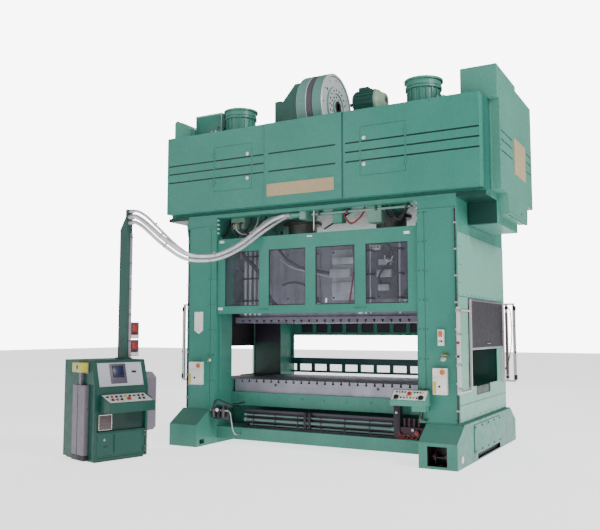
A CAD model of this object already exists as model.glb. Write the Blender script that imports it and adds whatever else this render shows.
"""Looks of the straight-side press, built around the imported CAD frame."""

import itertools
import math

import bmesh
import bpy
from mathutils import Matrix, Vector


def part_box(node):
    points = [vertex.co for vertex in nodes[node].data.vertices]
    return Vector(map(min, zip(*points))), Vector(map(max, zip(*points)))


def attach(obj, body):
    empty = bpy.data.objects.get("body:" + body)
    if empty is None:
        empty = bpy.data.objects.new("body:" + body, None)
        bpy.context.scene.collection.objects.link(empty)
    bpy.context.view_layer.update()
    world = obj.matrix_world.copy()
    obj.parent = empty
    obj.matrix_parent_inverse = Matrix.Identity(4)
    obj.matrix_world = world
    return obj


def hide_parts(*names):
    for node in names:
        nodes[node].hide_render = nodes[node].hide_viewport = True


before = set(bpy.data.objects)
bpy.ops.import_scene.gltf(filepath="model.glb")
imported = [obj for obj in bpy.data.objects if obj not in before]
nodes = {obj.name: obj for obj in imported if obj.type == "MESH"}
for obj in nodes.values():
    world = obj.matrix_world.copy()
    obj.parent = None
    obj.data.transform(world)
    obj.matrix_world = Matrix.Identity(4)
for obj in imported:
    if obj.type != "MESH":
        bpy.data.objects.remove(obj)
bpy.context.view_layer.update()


def srgb(r, g, b):
    """A colour given as it looks on a screen, 0 to 255, as the shader takes it."""
    def lin(v):
        v /= 255
        return v / 12.92 if v <= 0.04045 else ((v + 0.055) / 1.055) ** 2.4
    return (lin(r), lin(g), lin(b), 1)


# ---------- camera ----------

camera_data = bpy.data.cameras.new("camera")
camera_data.lens = 44.31
camera_data.sensor_width = 36
camera = bpy.data.objects.new("camera", camera_data)
camera.location = (5.744, -12.174, 1.965)
camera.rotation_euler = (math.radians(95.153), 0, math.radians(28.839))
bpy.context.scene.collection.objects.link(camera)
bpy.context.scene.camera = camera


# ---------- materials ----------

class Shader:
    """A node material with a Principled shader and short calls to wire it up."""

    def __init__(self, name, colour, roughness, metallic=0.0, coat=0.0):
        self.mat = bpy.data.materials.new(name)
        self.mat.use_nodes = True
        self.tree = self.mat.node_tree
        self.bsdf = self.tree.nodes["Principled BSDF"]
        self.bsdf.inputs["Base Color"].default_value = colour
        self.bsdf.inputs["Roughness"].default_value = roughness
        self.bsdf.inputs["Metallic"].default_value = metallic
        self.bsdf.inputs["Coat Weight"].default_value = coat
        self.coords = self.tree.nodes.new("ShaderNodeTexCoord").outputs["Object"]
        self.normal = None

    def link(self, a, b):
        self.tree.links.new(a, b)

    def feed(self, socket, v):
        if isinstance(v, bpy.types.NodeSocket):
            self.link(v, socket)
        else:
            socket.default_value = v

    def noise(self, scale, detail=3.0, stretch=(1, 1, 1), distortion=0.0):
        m = self.tree.nodes.new("ShaderNodeMapping")
        m.inputs["Scale"].default_value = stretch
        self.link(self.coords, m.inputs["Vector"])
        n = self.tree.nodes.new("ShaderNodeTexNoise")
        n.inputs["Scale"].default_value = scale
        n.inputs["Detail"].default_value = detail
        n.inputs["Distortion"].default_value = distortion
        self.link(m.outputs["Vector"], n.inputs["Vector"])
        return n.outputs["Fac"]

    def wave(self, scale, direction):
        n = self.tree.nodes.new("ShaderNodeTexWave")
        n.bands_direction = direction
        n.inputs["Scale"].default_value = scale
        self.link(self.coords, n.inputs["Vector"])
        return n.outputs["Fac"]

    def ramp(self, value, stops):
        r = self.tree.nodes.new("ShaderNodeValToRGB")
        elements = r.color_ramp.elements
        while len(elements) < len(stops):
            elements.new(0.5)
        for e, (pos, c) in zip(elements, stops):
            e.position = pos
            e.color = (c, c, c, 1) if not isinstance(c, tuple) else c
        self.link(value, r.inputs["Fac"])
        return r.outputs["Color"]

    def mix(self, fac, a, b, mode="MIX"):
        m = self.tree.nodes.new("ShaderNodeMix")
        m.data_type = "RGBA"
        m.blend_type = mode
        for socket, v in ((m.inputs["Factor"], fac), (m.inputs["A"], a), (m.inputs["B"], b)):
            self.feed(socket, v)
        return m.outputs["Result"]

    def math(self, op, a, b=0.0):
        m = self.tree.nodes.new("ShaderNodeMath")
        m.operation = op
        self.feed(m.inputs[0], a)
        self.feed(m.inputs[1], b)
        return m.outputs["Value"]

    def split(self, vector, i):
        s = self.tree.nodes.new("ShaderNodeSeparateXYZ")
        self.link(vector, s.inputs["Vector"])
        return s.outputs[i]

    def axis(self, i):
        return self.split(self.coords, i)

    def facing(self, i):
        """How far the surface faces along row axis i, from -1 to 1."""
        return self.split(self.tree.nodes.new("ShaderNodeNewGeometry").outputs["Normal"], i)

    def within(self, value, low, high):
        above, below = self.math("GREATER_THAN", value, low), self.math("LESS_THAN", value, high)
        return self.math("MULTIPLY", above, below)

    def zone(self, **spans):
        """1 where the surface's x, y and z (or ax, the distance left or right) are in their spans."""
        fac = 1.0
        for name, (low, high) in spans.items():
            value = self.math("ABSOLUTE", self.axis(0)) if name == "ax" else self.axis("xyz".index(name))
            fac = self.math("MULTIPLY", fac, self.within(value, low, high))
        return fac

    def pipe(self, y, z, radius):
        """1 on a pipe along X."""
        dy = self.math("SUBTRACT", self.axis(1), y)
        dz = self.math("SUBTRACT", self.axis(2), z)
        square = self.math("ADD", self.math("MULTIPLY", dy, dy), self.math("MULTIPLY", dz, dz))
        return self.math("LESS_THAN", square, radius * radius)

    def rounded(self, radius):
        """Softens the look of sharp edges by that many metres."""
        b = self.tree.nodes.new("ShaderNodeBevel")
        b.samples = 4
        b.inputs["Radius"].default_value = radius
        self.normal = b.outputs["Normal"]
        self.link(self.normal, self.bsdf.inputs["Normal"])
        return self

    def bump(self, value, strength, distance):
        b = self.tree.nodes.new("ShaderNodeBump")
        b.inputs["Strength"].default_value = strength
        b.inputs["Distance"].default_value = distance
        self.link(value, b.inputs["Height"])
        if self.normal:
            self.link(self.normal, b.inputs["Normal"])
        self.normal = b.outputs["Normal"]
        self.link(self.normal, self.bsdf.inputs["Normal"])
        return self

    def to(self, socket, value):
        self.link(value, self.bsdf.inputs[socket])
        return self

    def zones(self, base, metallic, spots):
        """Lays each spot's colour and metal over the base where its mask is 1."""
        for mask, colour, metal in spots:
            fac = mask(self)
            base = self.mix(fac, base, colour)
            inside = self.math("MULTIPLY", fac, metal)
            outside = self.math("MULTIPLY", self.math("SUBTRACT", 1.0, fac), metallic)
            metallic = self.math("ADD", inside, outside)
        if spots:
            self.to("Metallic", metallic)
        return self.to("Base Color", base)


def shade(c, k):
    return (min(1, c[0] * k), min(1, c[1] * k), min(1, c[2] * k), 1)


def enamel(name, colour, roughness=0.42, wear=0.5, grime=0.5, coat=0.12, spots=()):
    """Sprayed machine enamel: cloudy tone, drips and dust, orange peel, worn spots near edges."""
    s = Shader(name, colour, roughness, coat=coat).rounded(0.004)
    s.bsdf.inputs["Specular IOR Level"].default_value = 0.25
    cloud = s.ramp(s.noise(1.3, 5), [(0.3, shade(colour, 0.93)), (0.7, shade(colour, 1.07))])
    base = s.mix(1.0, cloud, s.ramp(s.noise(26, 4), [(0.35, 0.94), (0.65, 1.03)]), "MULTIPLY")
    # faint runs of dirt down the standing faces
    runs = s.ramp(s.noise(5.5, 5, stretch=(1, 1, 0.08)), [(0.5, 0.0), (0.78, 0.26 * grime)])
    base = s.mix(runs, base, shade(colour, 0.5))
    # dust on what faces up
    upward = s.math("MAXIMUM", s.facing(2), 0.0)
    dust = s.math("MULTIPLY", upward, s.ramp(s.noise(3, 4), [(0.3, 0.1 * grime), (0.7, 0.4 * grime)]))
    base = s.mix(dust, base, srgb(140, 144, 136))
    # oily grime low down
    height = s.math("ADD", s.axis(2), s.math("MULTIPLY", s.noise(4, 4), 0.8))
    base = s.mix(s.ramp(height, [(0.42, 0.3 * grime), (0.8, 0.0)]), base, srgb(50, 54, 52))
    chips = s.ramp(s.noise(38, 6, distortion=0.6), [(0.735, 0.0), (0.75, 0.8 * wear)])
    base = s.mix(chips, base, srgb(70, 72, 70))
    s.zones(base, 0.0, spots)
    s.to("Roughness", s.ramp(s.noise(9, 4), [(0.3, roughness - 0.08), (0.7, roughness + 0.12)]))
    return s.bump(s.noise(240, 2), 0.12, 0.0006).bump(s.noise(2.2, 3), 0.2, 0.004).mat


def machined(name, colour, roughness=0.34, grain=(1, 60, 60), metallic=0.85, stain=0.4, spots=()):
    """Ground or milled steel with its tool lines, oil stains and light rust."""
    s = Shader(name, colour, roughness, metallic).rounded(0.002)
    lines = s.noise(6, 3, stretch=grain)
    tone = s.ramp(s.noise(2.2, 5), [(0.3, shade(colour, 0.85)), (0.7, shade(colour, 1.1))])
    base = s.mix(1.0, tone, s.ramp(lines, [(0.3, 0.88), (0.7, 1.04)]), "MULTIPLY")
    oil = s.ramp(s.noise(4.5, 5, distortion=0.8), [(0.5, 0.0), (0.68, stain)])
    s.zones(s.mix(oil, base, srgb(74, 66, 62)), metallic, spots)
    s.to("Roughness", s.ramp(s.noise(7, 4), [(0.3, roughness - 0.1), (0.7, roughness + 0.16)]))
    return s.bump(lines, 0.2, 0.0008).mat


def casting(name, colour, roughness=0.55, metallic=0.4):
    """Rough cast iron, blotched and streaked with oil."""
    s = Shader(name, colour, roughness, metallic).rounded(0.003)
    base = s.ramp(s.noise(3, 6), [(0.3, shade(colour, 0.8)), (0.7, shade(colour, 1.15))])
    streak = s.ramp(s.noise(6, 4, stretch=(1, 1, 0.15)), [(0.5, 0.0), (0.75, 0.4)])
    s.to("Base Color", s.mix(streak, base, srgb(62, 54, 56)))
    s.to("Roughness", s.ramp(s.noise(12, 4), [(0.3, roughness - 0.1), (0.7, roughness + 0.15)]))
    return s.bump(s.noise(120, 4), 0.3, 0.001).mat


def plastic(name, colour, roughness=0.35, grain=300, strength=0.1):
    """Moulded plastic or rubber with a fine grain."""
    s = Shader(name, colour, roughness, coat=0.1).rounded(0.002)
    tone = s.ramp(s.noise(5, 4), [(0.3, shade(colour, 0.9)), (0.7, shade(colour, 1.08))])
    s.to("Base Color", s.mix(1.0, tone, s.ramp(s.noise(60, 3), [(0.4, 0.95), (0.6, 1.02)]), "MULTIPLY"))
    s.to("Roughness", s.ramp(s.noise(14, 3), [(0.3, roughness - 0.06), (0.7, roughness + 0.1)]))
    return s.bump(s.noise(grain, 2), strength, 0.0005).mat


def pane(name, colour):
    """Smoked plastic pane with faint haze and wipe marks."""
    s = Shader(name, colour, 0.12)
    s.bsdf.inputs["Alpha"].default_value = 0.2
    haze = s.noise(2.5, 4, stretch=(1, 1, 0.5))
    s.to("Base Color", s.ramp(haze, [(0.3, shade(colour, 0.8)), (0.7, shade(colour, 1.2))]))
    wipes = s.noise(7, 5, stretch=(1, 1, 4), distortion=1)
    s.to("Roughness", s.ramp(wipes, [(0.35, 0.08), (0.7, 0.3)]))
    return s.bump(s.noise(3, 2), 0.05, 0.002).mat


def jacket(name, colour):
    """Ribbed flexible conduit with a light, slightly shiny jacket."""
    s = Shader(name, colour, 0.34, 0.55)
    s.to("Base Color", s.ramp(s.noise(7, 4), [(0.3, shade(colour, 0.88)), (0.7, shade(colour, 1.1))]))
    s.to("Roughness", s.ramp(s.noise(20, 3), [(0.3, 0.26), (0.7, 0.44)]))
    return s.bump(s.wave(34, "DIAGONAL"), 0.3, 0.0012).mat


# places that the region colours go by
CONSOLE_AT, CONSOLE_YAW = Vector((-2.381, -3.816, 0)), math.radians(74.3)
CONSOLE = Matrix.Translation(CONSOLE_AT) @ Matrix.Rotation(CONSOLE_YAW, 4, "Z")
RACK_Y, RACK_END = -1.08, 1.3498
RACK_PIPES = ((0.43, 0.026), (0.352, 0.014), (0.516, 0.014))
console_w = 0.94


def on_console(s, turn):
    """Distance from the console's left front corner along its front; a quarter turn gives its depth."""
    dx = s.math("MULTIPLY", s.math("SUBTRACT", s.axis(0), CONSOLE_AT.x), math.cos(CONSOLE_YAW + turn))
    dy = s.math("MULTIPLY", s.math("SUBTRACT", s.axis(1), CONSOLE_AT.y), math.sin(CONSOLE_YAW + turn))
    return s.math("ADD", dx, dy)


def rack_pipes(s):
    main, low, high = (s.pipe(RACK_Y, z, r + 0.0001) for z, r in RACK_PIPES)
    any_pipe = s.math("MAXIMUM", s.math("MAXIMUM", main, low), high)
    return s.math("MULTIPLY", any_pipe, s.math("LESS_THAN", s.axis(0), RACK_END))


GREEN, LIGHT_GREEN, DARK_GREEN = srgb(59, 130, 115), srgb(80, 144, 127), srgb(44, 92, 82)
POST, FENCE, SHADE = srgb(206, 200, 200), srgb(50, 96, 98), srgb(14, 46, 42)


def facing_out(s, axis, sign=0):
    """1 on faces that look along a row axis, to one side or to both."""
    n = s.facing(axis)
    return s.math("GREATER_THAN", s.math("MULTIPLY", n, sign) if sign else s.math("ABSOLUTE", n), 0.5)


def both(s, *masks):
    fac = masks[0]
    for m in masks[1:]:
        fac = s.math("MULTIPLY", fac, m)
    return fac


def spot(colour, metal=0.0, **spans):
    """A box-shaped region with its own colour."""
    return (lambda s: s.zone(**spans), colour, metal)


HOLE, LAMP_STRIP = srgb(34, 24, 28), srgb(180, 176, 172)
side_machined = (lambda s: facing_out(s, 0), srgb(216, 218, 222), 0.2)
belt_band = spot(srgb(120, 116, 126), 0.3, x=(-0.489, -0.375))
# hollow of the foot pockets and the slot under the foot's side plate
BED_SPOTS = [
    spot(HOLE, x=(2.11, 2.42), y=(-1.795, -1.47), z=(0.035, 0.325)),
    spot(HOLE, ax=(2.11, 2.42), y=(1.47, 1.795), z=(0.035, 0.325)),
    spot(srgb(16, 14, 18), ax=(2.50, 2.5695), y=(-0.745, 0.645), z=(0.015, 0.104))]
# floors of the long grooves, and the dark end of the crown behind its covers
GROOVES = [
    spot(SHADE, y=(y - 0.0015, y + 0.0015), z=(z - 0.0135, z + 0.0135))
    for z in (4.688, 4.846, 4.997) for y in (-1.554, -1.542)]
SIDE_GROOVES = [
    spot(SHADE, ax=(3.1035, 3.1065), z=(z - 0.0115, z + 0.0115)) for z in (4.72, 4.89, 5.03)]
CROWN_SPOTS = [
    (lambda s: both(s, s.zone(ax=(2.5, 2.965), y=(-1.42, -0.7), z=(3.6, 4.052)),
                    s.math("MAXIMUM", facing_out(s, 1), facing_out(s, 2, -1))), srgb(18, 62, 54), 0.0),
    (lambda s: both(s, s.zone(ax=(2.90, 2.97), y=(-1.42, -1.12)), facing_out(s, 0)), srgb(40, 98, 90), 0.0)]
# insides of the side windows, and the face that shows through the step in the sheet below them
window = {"ax": (1.885, 2.485), "y": (-0.915, 0.855)}
WINDOW_SPOTS = [
    spot(srgb(20, 60, 52), **window, z=(1.095, 1.75)), spot(srgb(42, 38, 52), **window, z=(1.75, 2.485)),
    spot(SHADE, ax=(2.4915, 2.4945), y=(-0.515, 0.33), z=(0.96, 1.10))]
M = {
    "crown": enamel("crown_enamel", GREEN, grime=0.2, spots=CROWN_SPOTS),
    "cover": enamel("crown_cover_enamel", GREEN, grime=0.2, spots=GROOVES),
    "gear_cover": enamel("gear_cover_enamel", LIGHT_GREEN, grime=0.25, spots=SIDE_GROOVES),
    "hood": enamel("hood_enamel", srgb(60, 114, 102), wear=0.3, grime=0.3),
    "cabinet": enamel("cabinet_enamel", srgb(156, 198, 186), grime=0.2),
    "frame": enamel("frame_enamel", GREEN, grime=0.3, spots=WINDOW_SPOTS),
    "light": enamel("cover_enamel", LIGHT_GREEN, grime=0.3),
    "column": enamel("column_cover_enamel", GREEN, grime=0.3, spots=[
        (lambda s: both(s, s.zone(ax=(2.49, 2.556)), facing_out(s, 0)), srgb(112, 168, 150), 0.0)]),
    "bed": enamel("bed_enamel", srgb(66, 130, 115), grime=0.5, spots=BED_SPOTS),
    "flywheel": enamel("flywheel_enamel", srgb(112, 160, 150), grime=0.2, spots=[belt_band, side_machined]),
    "motor": enamel("motor_enamel", srgb(44, 96, 84), wear=0.3, grime=0.3, spots=[
        spot(srgb(160, 186, 160), x=(0.315, 0.6))]),
    "dark": enamel("dark_enamel", DARK_GREEN, wear=0.3, grime=0.3),
    "pipe_green": enamel("pipe_enamel", srgb(110, 150, 136), wear=0.3, grime=0.3),
    "rail": enamel("rail_enamel", GREEN, wear=0.8, spots=[
        spot(POST, 0.35, ax=(2.494, 3)),
        spot(FENCE, ax=(0, 1.8775), y=(1.29, 1.34), z=(1, 1.435))]),
    "console": enamel("console_enamel", srgb(22, 74, 64), roughness=0.38, wear=0.2, grime=0.3, spots=[
        (lambda s: both(s, s.within(on_console(s, math.pi / 2), 0.046, 0.064), s.zone(z=(0.445, 0.755))),
         srgb(20, 52, 46), 0.0)]),
    "leaf": enamel("console_door_enamel", srgb(24, 78, 68), roughness=0.38, wear=0.2, grime=0.3),
    "mast": enamel("mast_enamel", srgb(54, 90, 83), wear=0.3, grime=0.3),
    "white": enamel("white_enamel", srgb(234, 233, 230), wear=0.3, grime=0.2),
    "boxes": enamel("box_enamel", srgb(234, 233, 230), wear=0.3, grime=0.15, spots=[
        spot(srgb(92, 144, 130), z=(3.7, 4.1)),
        spot(srgb(176, 140, 72), 0.5, x=(2.25, 2.36), z=(1.605, 1.63))]),
    "tan": enamel("plate_enamel", srgb(178, 156, 124), roughness=0.6, wear=0.1, grime=0.3),
    "grey": enamel("grey_enamel", srgb(112, 106, 118), wear=0.3, grime=0.4),
    "fittings": enamel("fitting_enamel", srgb(112, 104, 116), wear=0.2, grime=0.2, spots=[
        (lambda s: s.math("GREATER_THAN", on_console(s, 0), console_w), srgb(120, 112, 122), 0.0),
        spot(srgb(190, 184, 60), z=(1.346, 1.5)),
        spot(srgb(130, 62, 70), z=(1.535, 2.2)),
        spot(LAMP_STRIP, z=(1.555, 1.63)),
        spot(LAMP_STRIP, z=(1.845, 1.91))]),
    "panel": enamel("panel_enamel", srgb(186, 187, 196), roughness=0.5, wear=0.05, grime=0.1),
    "fitting_light": enamel("strip_enamel", srgb(156, 146, 154), wear=0.2, grime=0.3),
    "black": enamel("black_enamel", srgb(40, 36, 44), roughness=0.5, wear=0.5, grime=0.3),
    "rack": enamel("rack_enamel", srgb(64, 58, 70), roughness=0.5, wear=0.5, grime=0.3, spots=[
        spot(srgb(64, 40, 50), 0.2, x=(1.4502, 2), y=(-1.2, -1)),
        (rack_pipes, srgb(96, 124, 118), 0.0)]),
    "guard": plastic("side_guard_sheet", srgb(34, 30, 40), 0.62, grain=40, strength=0.02),
    "rear": enamel("rear_guard_enamel", GREEN, grime=0.3, spots=[
        spot(srgb(52, 48, 62), y=(1.3595, 1.3725), z=(1.949, 2.954))]),
    "steel": machined("ground_steel", srgb(140, 140, 150)),
    "bolster": machined(
        "bolster_steel", srgb(158, 156, 169), 0.45, grain=(1, 40, 40), metallic=0.6, stain=0.12),
    "slide_plate": machined("slide_plate_steel", srgb(112, 107, 124), 0.5, metallic=0.2, stain=0.2),
    "shaft": machined("turned_steel", srgb(150, 152, 156), 0.3, grain=(40, 1, 1)),
    "screw": machined("screw_steel", srgb(84, 84, 88), 0.45, grain=(30, 30, 30)),
    "plunger": machined(
        "plunger_steel", srgb(148, 146, 140), 0.45, grain=(8, 8, 8), metallic=0.5, stain=0.35),
    "iron": casting("slide_iron", srgb(142, 142, 156), metallic=0.15),
    "pad": casting("pad_iron", srgb(196, 198, 208), 0.5, 0.1),
    "gear": casting("gear_iron", srgb(104, 104, 110), 0.45, 0.7),
    "guides": casting("guide_iron", srgb(104, 104, 106)),
    "pane": pane("smoked_pane", srgb(84, 84, 100)),
    "rubber": plastic("hose_rubber", srgb(34, 32, 40), 0.6, grain=80, strength=0.3),
    "belt": plastic("belt_rubber", srgb(92, 88, 98), 0.6, grain=80, strength=0.3),
    "jacket": jacket("conduit_jacket", srgb(196, 196, 200)),
    "galvanised": machined(
        "galvanised_steel", srgb(176, 176, 180), 0.4, grain=(8, 8, 8), metallic=0.6, stain=0.12),
    "red": plastic("red_plastic", srgb(176, 36, 38)),
    "dull_red": enamel("red_enamel", srgb(130, 50, 60), wear=0.2, grime=0.3),
    "button_black": plastic("black_plastic", srgb(28, 28, 31)),
    "yellow": plastic("yellow_plastic", srgb(206, 176, 60)),
    "orange": plastic("orange_plastic", srgb(206, 104, 50)),
    "screen": plastic("screen_glass", srgb(26, 32, 74), 0.3, strength=0.02),
    "bezel": plastic("bezel_plastic", srgb(84, 76, 92), 0.4),
    "brown": plastic("dark_brown", srgb(92, 74, 76), 0.45),
    "lamp_green": plastic("green_lens", srgb(60, 130, 80), 0.2),
    "brass": machined("brass_key", srgb(184, 144, 76), 0.3, grain=(10, 10, 10), stain=0.2),
}

LOOK = {
    "bed": "bed",
    "frame": "left_upright right_upright front_guard",
    "crown": "crown",
    "steel": "tie_rods slide_gibs cylinder_rods",
    "bolster": "bolster",
    "column": "upright_covers",
    "cover": "crown_left_cover crown_middle_cover crown_right_cover left_hatch right_hatch",
    "gear_cover": "left_gear_cover right_gear_cover",
    "cabinet": "crown_cabinet",
    "tan": "blank_plates",
    "guides": "bearings",
    "hood": "gear_guard",
    "dark": "motor_base",
    "motor": "motor",
    "belt": "drive_belts",
    "light": "air_cylinders operator_panel",
    "rail": "guard_rails",
    "rack": "pipe_rack",
    "boxes": "electrical_boxes",
    "console": "console_cabinet",
    "panel": "console_panel",
    "white": "console_shelf",
    "fittings": "console_fittings",
    "mast": "mast",
    "galvanised": "conduit_glands",
    "screw": "levelling_screws",
    "shaft": "crankshaft clutch_shaft",
    "gear": "bull_gears cross_shaft motor_sheave",
    "iron": "conrods slide",
    "plunger": "plungers",
    "flywheel": "flywheel",
    "slide_plate": "slide_plate",
    "pane": "guard_windows",
    "rear": "rear_guard",
    "guard": "left_side_guard right_side_guard",
    "leaf": "console_door",
    "button_black": "left_run_button right_run_button",
    "red": "panel_stop_button console_stop_button",
    "orange": "left_stop_button right_stop_button",
}
for look, names in LOOK.items():
    for name in names.split():
        nodes[name].data.materials.clear()
        nodes[name].data.materials.append(M[look])


# ---------- small mesh tools ----------

def basis(axis):
    """Rotation that takes +Z to axis."""
    return Vector(axis).to_track_quat("Z", "Y").to_matrix().to_4x4()


def ring(n, radius, turn=0.0):
    """n points round a circle, as pairs of coordinates."""
    angles = (math.tau * k / n + turn for k in range(n))
    return [(radius * math.cos(a), radius * math.sin(a)) for a in angles]


class Build:
    """Collects small shapes, each with its own material, into one mesh."""

    def __init__(self, name, body, slot_name):
        self.name, self.body, self.slot_name = name, body, slot_name
        self.bm = bmesh.new()
        self.looks = []

    def _look(self, look):
        if look not in self.looks:
            self.looks.append(look)
        return self.looks.index(look)

    def _place(self, made, look, matrix, smooth):
        """Gives the new faces their look and moves the new points to their place."""
        index = self._look(look)
        for v in made:
            v.co = matrix @ v.co
        faces = {f for v in made for f in v.link_faces}
        for f in faces:
            f.material_index = index
            f.smooth = smooth

    def box(self, a, b, look, bevel=0.002, matrix=Matrix.Identity(4)):
        """Box between any two opposite corners, with its edges rounded."""
        low, high = Vector(map(min, a, b)), Vector(map(max, a, b))
        made = bmesh.ops.create_cube(self.bm, size=1)["verts"]
        size = high - low
        for v in made:
            v.co = [start + (unit + 0.5) * side for start, unit, side in zip(low, v.co, size)]
        radius = min(bevel, min(size) * 0.45)
        if radius > 0:
            edges = list({e for v in made for e in v.link_edges})
            made = bmesh.ops.bevel(
                self.bm, geom=edges, offset=radius, segments=2, affect="EDGES", profile=0.6)["verts"]
        self._place(made, look, matrix, False)

    def strips(self, rows, y0, y1, look, bevel=0.002, matrix=Matrix.Identity(4)):
        """Boxes given as (x0, x1, z0, z1), all between the same two depths."""
        for x0, x1, z0, z1 in rows:
            self.box((x0, y0, z0), (x1, y1, z1), look, bevel, matrix)

    def turned(self, place, axis, profile, look, sides=24, smooth=True):
        """Solid of revolution; profile is (distance along axis, radius) from one end to the other."""
        matrix = Matrix.Translation(place) @ basis(axis)
        rings = []
        for z, r in profile:
            if r <= 0:
                rings.append([self.bm.verts.new((0, 0, z))])
            else:
                rings.append([self.bm.verts.new((x, y, z)) for x, y in ring(sides, r)])
        for a, b in zip(rings, rings[1:]):
            for k in range(sides):
                n = (k + 1) % sides
                corners = [a[k % len(a)], a[n % len(a)], b[n % len(b)], b[k % len(b)]]
                self.bm.faces.new(list(dict.fromkeys(corners)))
        for end in (rings[0][::-1], rings[-1]):
            if len(end) > 2:
                self.bm.faces.new(end)
        self._place([v for r in rings for v in r], look, matrix, smooth)

    def rod(self, a, b, radius, look, sides=16):
        a, b = Vector(a), Vector(b)
        h, edge = (b - a).length, min(radius * 0.2, 0.002)
        profile = [(0, radius - edge), (edge, radius), (h - edge, radius), (h, radius - edge)]
        self.turned(a, b - a, profile, look, sides)

    def bolt(self, place, axis, size, look="screw", washer=True):
        """Hexagon head on a washer; size is the head's radius."""
        if washer:
            disc = [(0, size * 1.5), (size * 0.2, size * 1.5), (size * 0.24, size * 1.4)]
            self.turned(place, axis, disc, look, 20)
        head = [(0, size), (size * 0.75, size), (size * 0.9, size * 0.82)]
        self.turned(place, axis, head, look, 6, smooth=False)

    def bolts(self, places, *how, **more):
        for p in places:
            self.bolt(p, *how, **more)

    def screw(self, place, axis, size, look="screw"):
        """Low domed screw head with a socket."""
        shape = ((0, 1), (0.3, 0.96), (0.55, 0.7), (0.6, 0.42), (0.3, 0.34), (0.3, 0))
        self.turned(place, axis, [(size * z, size * r) for z, r in shape], look, 14)

    def screws(self, places, *how):
        for p in places:
            self.screw(p, *how)

    def union(self, place, axis, r1, h1, r2, h2):
        """Six-sided brass union in two steps, each with its radius and height."""
        self.turned(place, axis, [
            (0, r1), (h1, r1), (h1 + 0.002, r2), (h2, r2 - 0.001), (h2, 0)], "brass", 6,
                    smooth=False)

    def tube(self, points, radius, look, sides=12):
        """Bent tube through the points."""
        points = [Vector(p) for p in points]
        rings = []
        for i, p in enumerate(points):
            ahead = points[min(i + 1, len(points) - 1)] - points[max(i - 1, 0)]
            z = ahead.normalized()
            x = z.cross(Vector((0, 0, 1)))
            if x.length < 0.05:
                x = z.cross(Vector((0, 1, 0)))
            x.normalize()
            if rings and x.dot(last) < 0:
                x = -x
            last = x
            y = z.cross(x)
            rings.append([self.bm.verts.new(p + x * u + y * v) for u, v in ring(sides, radius)])
        for a, b in zip(rings, rings[1:]):
            for k in range(sides):
                n = (k + 1) % sides
                self.bm.faces.new([a[k], a[n], b[n], b[k]])
        self.bm.faces.new(rings[0][::-1])
        self.bm.faces.new(rings[-1])
        self._place([v for r in rings for v in r], look, Matrix.Identity(4), True)

    def hose(self, points, radius, look="rubber", sides=12, steps=8):
        """Tube along a rounded path through the points."""
        self.tube(smooth_path(points, steps), radius, look, sides)

    def grip(self, middle, half, out, radius, look):
        """Bent handle, half its length to either side of its middle, that stands off by out."""
        middle, half, out = Vector(middle), Vector(half), Vector(out)
        points = [middle - half, middle - half + out, middle + half + out, middle + half]
        self.hose(points, radius, look, 10, 4)

    def finish(self):
        bmesh.ops.recalc_face_normals(self.bm, faces=self.bm.faces)
        mesh = bpy.data.meshes.new(self.name)
        self.bm.to_mesh(mesh)
        self.bm.free()
        for look in self.looks:
            mesh.materials.append(M[look])
        obj = bpy.data.objects.new(self.name, mesh)
        bpy.context.scene.collection.objects.link(obj)
        mesh.set_sharp_from_angle(angle=math.radians(40))
        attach(obj, self.body)
        return obj


def spread(a, b, step):
    """Evenly spaced values from a to b, about step apart."""
    n = max(1, round(abs(b - a) / step))
    return [a + (b - a) * i / n for i in range(n + 1)]


def grid(*choices):
    """Every point whose x, y and z are among the given ones; a number stands for itself."""
    return itertools.product(*((c,) if isinstance(c, (int, float)) else c for c in choices))


def arc(x, y, z, wide, tall, turn, steps):
    """Points on an upright arc across the press, for an eye or a handle."""
    angles = (turn * k / steps for k in range(steps + 1))
    return [(x, y + wide * math.cos(a), z + tall * math.sin(a)) for a in angles]


def border(x0, x1, z0, z1, w):
    """Four strips just inside a rectangle, the standing ones between the lying ones."""
    return (
        (x0, x1, z1 - w, z1), (x0, x1, z0, z0 + w),
        (x0, x0 + w, z0 + w, z1 - w), (x1 - w, x1, z0 + w, z1 - w))


def smooth_path(points, steps=8):
    """Rounded path (Catmull-Rom) through hand-chosen points."""
    points = [Vector(p) for p in points]
    ends = [2 * points[0] - points[1]] + points + [2 * points[-1] - points[-2]]
    out = []
    for a, b, c, d in zip(ends, ends[1:], ends[2:], ends[3:]):
        for t in (i / steps for i in range(steps)):
            square, cube = 2 * a - 5 * b + 4 * c - d, 3 * b - a - 3 * c + d
            out.append(0.5 * (2 * b + (c - a) * t + square * t * t + cube * t ** 3))
    return out + [points[-1]]


def out_of(m):
    """The direction that a tilted face looks in."""
    return (m.to_3x3() @ Vector((0, 0, 1))).normalized()


FRONT, REAR, LEFT, RIGHT, UP, DOWN = (0, -1, 0), (0, 1, 0), (-1, 0, 0), (1, 0, 0), (0, 0, 1), (0, 0, -1)
SIDES = (-1, 1)
CORNERS = list(itertools.product(SIDES, SIDES))


# ---------- cords ----------

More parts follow.
